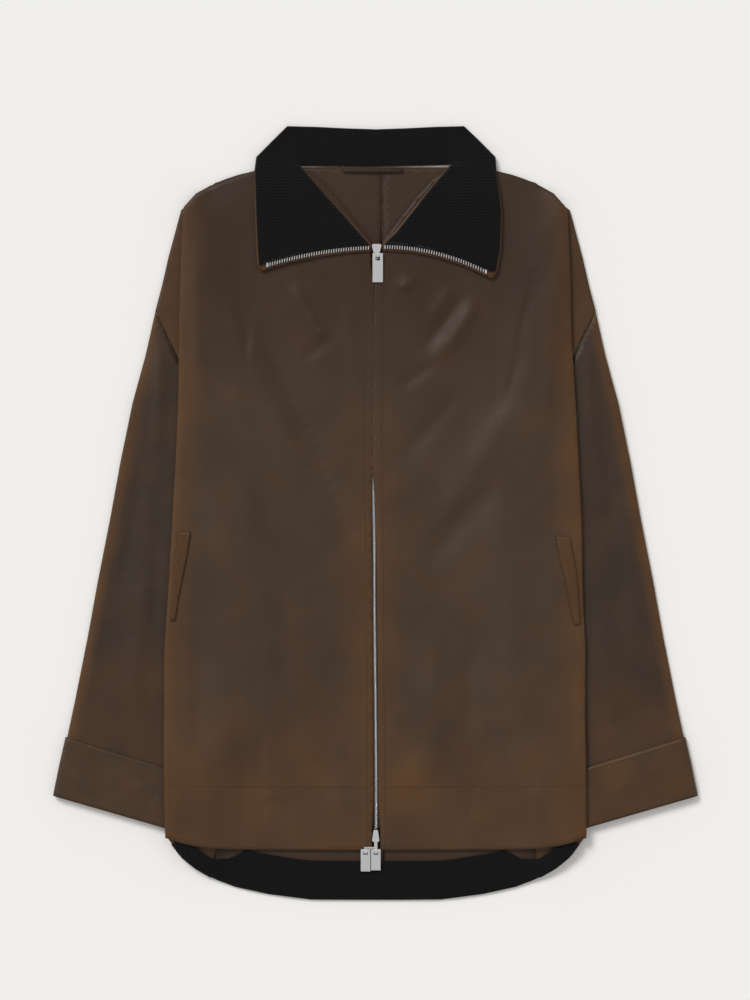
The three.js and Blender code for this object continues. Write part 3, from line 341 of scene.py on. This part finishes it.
def sleeve_colour(x, y, z):
    outer = 249 + (191 - y) * 0.204
    # Orange-brown along the outer edge: partly wax wear, partly a painted highlight where the sleeve rolls
    # over.
    edge = step(1 - (outer - abs(x)) / 16)
    # Lighter and more orange towards the cuff.
    low = 0.6 * step((-120 - y + 30 * blotch(x, y, 50)) / 120)
    shade = Vector((0.038, 0.0205, 0.0110))
    return shade.lerp(ORANGE_BROWN, min(1, max(0, 0.85 * edge + 0.5 * low + 0.2 * blotch(x, y, 28))))


def sleeve_lift(side):
    def lift(x, y, z):
        top = step((z - 2.6) / 1.6)
        inside = step((abs(x) - 226) / 8) * step((-y + 215) / 30) * step((y + 262) / 40)
        return top * inside * (crease_height(SLEEVE_CREASES[side], x, y) + 0.3 * blotch(x, y, 24))
    return lift


for side in ("sleeve_right", "sleeve_left"):
    sleeve = cloth_piece(side, 0.009, sleeve_colour, sleeve_lift(side), smoothing=2)

# ---------------------------------------------------------------------------------------------
# Cuffs: the ends of the sleeves turned back and pressed, the wearer's right one crumpled.
CUFF_CREASES = {
    "cuff_right": [
        (-330, -262, -316, -282, -300, -300, 4, 0.9), (-312, -262, -300, -280, -280, -290, 4, -0.8),
        (-292, -272, -276, -292, -262, -318, 5, 1.0), (-258, -284, -250, -300, -240, -322, 4, -0.8),
        (-340, -290, -322, -296, -306, -310, 3, 0.7), (-280, -300, -262, -304, -246, -300, 4, 0.8),
    ],
    "cuff_left": [
        (330, -262, 312, -276, 296, -290, 6, 0.6), (290, -272, 270, -292, 256, -322, 7, 0.7),
        (250, -286, 246, -304, 240, -328, 5, -0.5),
    ],
}


def cuff_colour(x, y, z):
    orange_share = 0.55 + 0.45 * blotch(x, y, 22) if x > 0 else 0.25 + 0.35 * blotch(x, y, 18)
    return Vector((0.048, 0.0270, 0.0140)).lerp(ORANGE_BROWN, min(1, max(0, orange_share)))


def cuff_lift(side):
    def lift(x, y, z):
        return step((z - 5.5) / 2) * step((abs(x) - 236) / 8) * crease_height(CUFF_CREASES[side], x, y)
    return lift


for side in ("cuff_right", "cuff_left"):
    cuff = cloth_piece(side, 0.006, cuff_colour, cuff_lift(side), smoothing=1)

# ---------------------------------------------------------------------------------------------
# Collar, outer side: gabardine, seen only as a thin edge round the corduroy.
collar = cloth_piece("collar_shell", 0.006, lambda x, y, z: ORANGE_BROWN.lerp(DEEP_BROWN, 0.35), smoothing=1)

# ---------------------------------------------------------------------------------------------
# Collar, inner side: fine black corduroy, folded out over the fronts, with its wales lying along
# the leaves and standing upright across the back.
WALE_MM = 1.6


def corduroy_cloth(name):
    material = bpy.data.materials.new(name)
    material.use_nodes = True
    nodes = material.node_tree.nodes
    links = material.node_tree.links
    shader = nodes["Principled BSDF"]
    place = nodes.new("ShaderNodeSeparateXYZ")
    links.new(nodes.new("ShaderNodeTexCoord").outputs["Object"], place.inputs[0])
    upright = nodes.new("ShaderNodeAttribute")
    upright.attribute_name = "upright"

    def ridge(axis):
        turn = nodes.new("ShaderNodeMath")
        turn.operation = "MULTIPLY"
        turn.inputs[1].default_value = 2 * math.pi / (WALE_MM * MM)
        links.new(place.outputs[axis], turn.inputs[0])
        wave = nodes.new("ShaderNodeMath")
        wave.operation = "SINE"
        links.new(turn.outputs[0], wave.inputs[0])
        return wave.outputs[0]

    mixed = nodes.new("ShaderNodeMix")
    links.new(upright.outputs["Fac"], mixed.inputs["Factor"])
    links.new(ridge("Y"), mixed.inputs["A"])
    links.new(ridge("X"), mixed.inputs["B"])
    # Painted shade: the colour is darkened between the wales, down to 35 % in the grooves, by the same wave
    # that raises them in the bump.
    shade = nodes.new("ShaderNodeMapRange")
    shade.inputs["From Min"].default_value = -1
    shade.inputs["To Min"].default_value = 0.35
    shade.inputs["To Max"].default_value = 1.0
    links.new(mixed.outputs["Result"], shade.inputs["Value"])
    pile_colour_and_wale_shade = nodes.new("ShaderNodeVectorMath")
    pile_colour_and_wale_shade.operation = "SCALE"
    pile_colour_and_wale_shade.inputs[0].default_value = (0.0042, 0.0040, 0.0055)
    links.new(shade.outputs["Result"], pile_colour_and_wale_shade.inputs["Scale"])
    links.new(pile_colour_and_wale_shade.outputs["Vector"], shader.inputs["Base Color"])
    shader.inputs["Roughness"].default_value = 0.85
    shader.inputs["Specular IOR Level"].default_value = 0.15
    shader.inputs["Sheen Weight"].default_value = 0.06
    bump = nodes.new("ShaderNodeBump")
    bump.inputs["Strength"].default_value = 0.9
    bump.inputs["Distance"].default_value = 0.0005
    links.new(mixed.outputs["Result"], bump.inputs["Height"])
    links.new(bump.outputs["Normal"], shader.inputs["Normal"])
    return material


corduroy = corduroy_cloth("black_corduroy")


def mark_upright(piece, upright):
    values = piece.data.attributes.new("upright", "FLOAT", "POINT")
    for vert in piece.data.vertices:
        x, y, z = vert.co / MM
        values.data[vert.index].value = upright(x, y)


def leaf_lift(x, y, z):
    roll = 1.2 * math.exp(-((abs(x) - 88) / 7) ** 2) * step((y - 372) / 10) * step((415 - y) / 14)
    return roll + 0.35 * blotch(x, y, 22) * step((abs(x) - 20) / 30)


facing = cloth_piece("collar_facing", 0.005, lambda x, y, z: (0.004, 0.004, 0.005), leaf_lift,
                     smoothing=1, material=corduroy)
mark_upright(facing, lambda x, y: step((y - 381) / 2) * step((118 - abs(x)) / 4))

# ---------------------------------------------------------------------------------------------
# Hem facing: the same corduroy, sewn inside the curved tail of the back, its wales upright.
hem = cloth_piece("hem_facing", 0.006, lambda x, y, z: (0.004, 0.004, 0.005), smoothing=1,
                  material=corduroy)
mark_upright(hem, lambda x, y: 1.0)

# ---------------------------------------------------------------------------------------------
# Pocket welts: narrow slanted strips stitched down beside the side folds, and the hanger loop
# at the back neck, a folded strip of the body cloth.
WELT_CUT = {"pocket_welt_right": (0.0125, 0.097, 0.0009), "pocket_welt_left": (0.015, 0.0965, 0.00115)}
for side, (welt_width, welt_length, welt_area) in WELT_CUT.items():
    welt = cloth_piece(side, 0.004, lambda x, y, z: ORANGE_BROWN.lerp(DEEP_BROWN, 0.3),
                       lambda x, y, z: 0.5, smoothing=1)

hanger = cloth_piece("hanger_loop", 0.003, lambda x, y, z: DEEP_BROWN * 0.8, smoothing=1)

# ---------------------------------------------------------------------------------------------
# Zip: woven tapes under the front edges, and plain bright metal teeth, sliders and pulls.
# Teeth are bevelled bars: crosswise on the open leaves, and meshed from both sides when closed.
tape_cloth = wax_cloth("zip_tape_weave", weave=0.8, crumple=0.1)
for side in ("zip_tape_right", "zip_tape_left"):
    tape = cloth_piece(side, 0.02, lambda x, y, z: DEEP_BROWN, smoothing=0,
                       material=tape_cloth)

metal = bpy.data.materials.new("bright_metal")
metal.use_nodes = True
metal_shader = metal.node_tree.nodes["Principled BSDF"]
metal_shader.inputs["Base Color"].default_value = (0.80, 0.80, 0.82, 1)
metal_shader.inputs["Metallic"].default_value = 1.0
metal_scratches = metal.node_tree.nodes.new("ShaderNodeTexNoise")
metal_scratches.inputs["Scale"].default_value = 900
metal_place = metal.node_tree.nodes.new("ShaderNodeTexCoord")
metal.node_tree.links.new(metal_place.outputs["Object"], metal_scratches.inputs["Vector"])
metal_range = metal.node_tree.nodes.new("ShaderNodeMapRange")
metal_range.inputs["To Min"].default_value = 0.14
metal_range.inputs["To Max"].default_value = 0.34
metal.node_tree.links.new(metal_scratches.outputs["Fac"], metal_range.inputs["Value"])
metal.node_tree.links.new(metal_range.outputs["Result"], metal_shader.inputs["Roughness"])

for node in ("slider_top", "slider_bottom", "pull_top", "pull_bottom_front", "pull_bottom_back",
             "zip_stop_right", "zip_stop_left"):
    node_object = bpy.data.objects[node]
    node_object.data.materials.clear()
    node_object.data.materials.append(metal)


def add_bar(bm, centre, along, length, width, height):
    """A bar with a narrower top, lying along one direction: a zip tooth or a stitch."""
    along = along.normalized()
    side = Vector((-along.y, along.x, 0)).normalized()
    up = along.cross(side).normalized()
    if up.z < 0:
        up = -up
    ends = []
    for level, share in ((-0.5, 1.0), (0.1, 1.0), (0.5, 0.55)):
        for sx, sy in ((-1, -1), (1, -1), (1, 1), (-1, 1)):
            ends.append(bm.verts.new(centre + along * (sx * length / 2 * (0.8 + 0.2 * share))
                                     + side * (sy * width / 2 * share) + up * (level * height)))
    bm.faces.new(ends[0:4][::-1])
    bm.faces.new(ends[8:12])
    for ring in (0, 4):
        for k in range(4):
            a, b = ring + k, ring + (k + 1) % 4
            bm.faces.new((ends[a], ends[b], ends[b + 4], ends[a + 4]))


def finished(name, bm, material, slot, *nodes):
    mesh = bpy.data.meshes.new(name)
    bmesh.ops.recalc_face_normals(bm, faces=bm.faces)
    bm.to_mesh(mesh)
    bm.free()
    mesh.materials.append(material)
    piece = bpy.data.objects.new(name, mesh)
    bpy.context.collection.objects.link(piece)
    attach(piece, BODY)
    if nodes:
        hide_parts(*nodes)
    return piece


TOOTH_PITCH = 2.8
LEAF_ROW_LENGTH = 116
LEAF_ROW_FROM, LEAF_ROW_TO = 0.016, 0.93  # share of the leaf's edge that carries teeth
LEAF_ROW_INSET = 4.1  # from the leaf's lower edge to the middle of the teeth
LEAF_LOW, LEAF_RISE = 6, 2  # underside of the leaf at the zip, and its rise to the point
LEAF_STACK = 2.8  # shell wall, gap and facing up to the middle of a tooth
LEAF_TEETH = {
    "right": dict(start=(-4.6, 286.8), end=(-125.5, 265.5), bow=4.4, node="zip_teeth_right"),
    "left": dict(start=(7.2, 287.6), end=(128.0, 256.8), bow=8.2, node="zip_teeth_left"),
}
for side, leaf in LEAF_TEETH.items():
    bm = bmesh.new()
    count = int(LEAF_ROW_LENGTH / TOOTH_PITCH)
    for k in range(count):
        v = LEAF_ROW_FROM + (LEAF_ROW_TO - LEAF_ROW_FROM) * (k + 0.5) / count
        x = leaf["start"][0] + (leaf["end"][0] - leaf["start"][0]) * v
        straight_y = leaf["start"][1] + (leaf["end"][1] - leaf["start"][1]) * v
        y = straight_y + leaf["bow"] * 4 * v * (1 - v) + LEAF_ROW_INSET
        z = LEAF_LOW + LEAF_RISE * v + LEAF_STACK
        add_bar(bm, Vector((x, y, z)) * MM, Vector((0.1, 1, 0)), 4.3 * MM, 1.55 * MM, 1.7 * MM)
    finished("zip_leaf_teeth_" + side, bm, metal, "zip_metal", leaf["node"])

CLOSED_FROM_Y, CLOSED_TO_Y = -346.0, 284
CLOSED_TOOTH_Z = 3.0
bm = bmesh.new()
y = CLOSED_FROM_Y
while y < CLOSED_TO_Y:
    for hand in (-1, 1):
        tooth_y = y + (TOOTH_PITCH / 2 if hand > 0 else 0)
        centre = Vector((zip_x(tooth_y) + hand * 0.55, tooth_y, CLOSED_TOOTH_Z)) * MM
        add_bar(bm, centre, Vector((1, 0.12 * hand, 0)), 2.7 * MM, 1.2 * MM, 1.5 * MM)
    y += TOOTH_PITCH
finished("zip_closed_teeth", bm, metal, "zip_metal", "zip_chain")

# ---------------------------------------------------------------------------------------------
# Topstitching: short lockstitches in brown thread beside the zip, along the front hem, the inner
# edges and tops of the pocket welts and the cuffs, and down the centre-back seam.
thread = bpy.data.materials.new("brown_thread")
thread.use_nodes = True
thread_shader = thread.node_tree.nodes["Principled BSDF"]
thread_noise = thread.node_tree.nodes.new("ShaderNodeTexNoise")
thread_noise.inputs["Scale"].default_value = 400
thread_ramp = thread.node_tree.nodes.new("ShaderNodeValToRGB")
thread_ramp.color_ramp.elements[0].color = (0.020, 0.009, 0.003, 1)
thread_ramp.color_ramp.elements[1].color = (0.060, 0.026, 0.009, 1)
thread.node_tree.links.new(thread_noise.outputs["Fac"], thread_ramp.inputs["Fac"])
thread.node_tree.links.new(thread_ramp.outputs["Color"], thread_shader.inputs["Base Color"])
thread_shader.inputs["Roughness"].default_value = 0.7

STITCH = dict(pitch=3.1, length=2.3, width=0.42, height=0.34)


def stitch_line(bm, tree, points):
    """Stitches laid on a piece's upper face along a line through points in millimetres."""
    walked = 0.0
    for (x0, y0), (x1, y1) in zip(points, points[1:]):
        span = math.hypot(x1 - x0, y1 - y0)
        direction = Vector(((x1 - x0) / span, (y1 - y0) / span, 0))
        while walked < span:
            x, y = x0 + direction.x * walked, y0 + direction.y * walked
            hit = tree.ray_cast(Vector((x * MM, y * MM, 0.1)), Vector((0, 0, -1)))
            if hit[0] is not None:
                normal = hit[1]
                lie = (direction - normal * direction.dot(normal)).normalized()
                centre = hit[0] + normal * (STITCH["height"] * 0.3 * MM)
                add_bar(bm, centre, lie, STITCH["length"] * MM, STITCH["width"] * MM, STITCH["height"] * MM)
            walked += STITCH["pitch"]
        walked -= span


def tree_of(piece):
    bm = bmesh.new()
    bm.from_mesh(piece.data)
    tree = BVHTree.FromBMesh(bm)
    bm.free()
    return tree


def beside_zip(offset):
    return [(zip_x(y) + offset, y) for y in range(-366, 262, 12)]


STITCHED = {
    "front_right": [
        beside_zip(-9.5),
        [(-226, -298), (-150, -300.5), (-60, -301), (-8, -301)],
        [(-203, -21), (-206.5, -45), (-212, -69), (-217, -92), (-223, -118)],
        [(-203, -21), (-216, -21)], [(-203, -24), (-216, -24)],
    ],
    "front_left": [
        beside_zip(9.5),
        [(226, -298), (150, -300.5), (60, -301), (10, -301)],
        [(197, -26), (200, -45), (204.5, -64), (209, -84), (213, -104), (217.5, -125)],
        [(197, -26), (212, -26)], [(197, -29), (213, -29)],
    ],
}
for side, lines in STITCHED.items():
    bm = bmesh.new()
    tree = tree_of(fronts[side])
    for line in lines:
        stitch_line(bm, tree, line)
    finished("stitching_" + side, bm, thread, "gabardine")

bm = bmesh.new()
CENTRE_BACK_STITCH_X = -1.3
back_tree = tree_of(backs["back_right"])
for start_y, end_y in ((298, 373), (-380, -372)):
    stitch_line(bm, back_tree, [(CENTRE_BACK_STITCH_X, start_y), (CENTRE_BACK_STITCH_X, end_y)])
for side, sign in (("cuff_right", -1), ("cuff_left", 1)):
    tree = tree_of(bpy.data.objects[side + "_cloth"])
    stitch_line(bm, tree, [(sign * 338, -250), (sign * 284, -268), (sign * 236, -281)])
finished("stitching_back_and_cuffs", bm, thread, "gabardine")
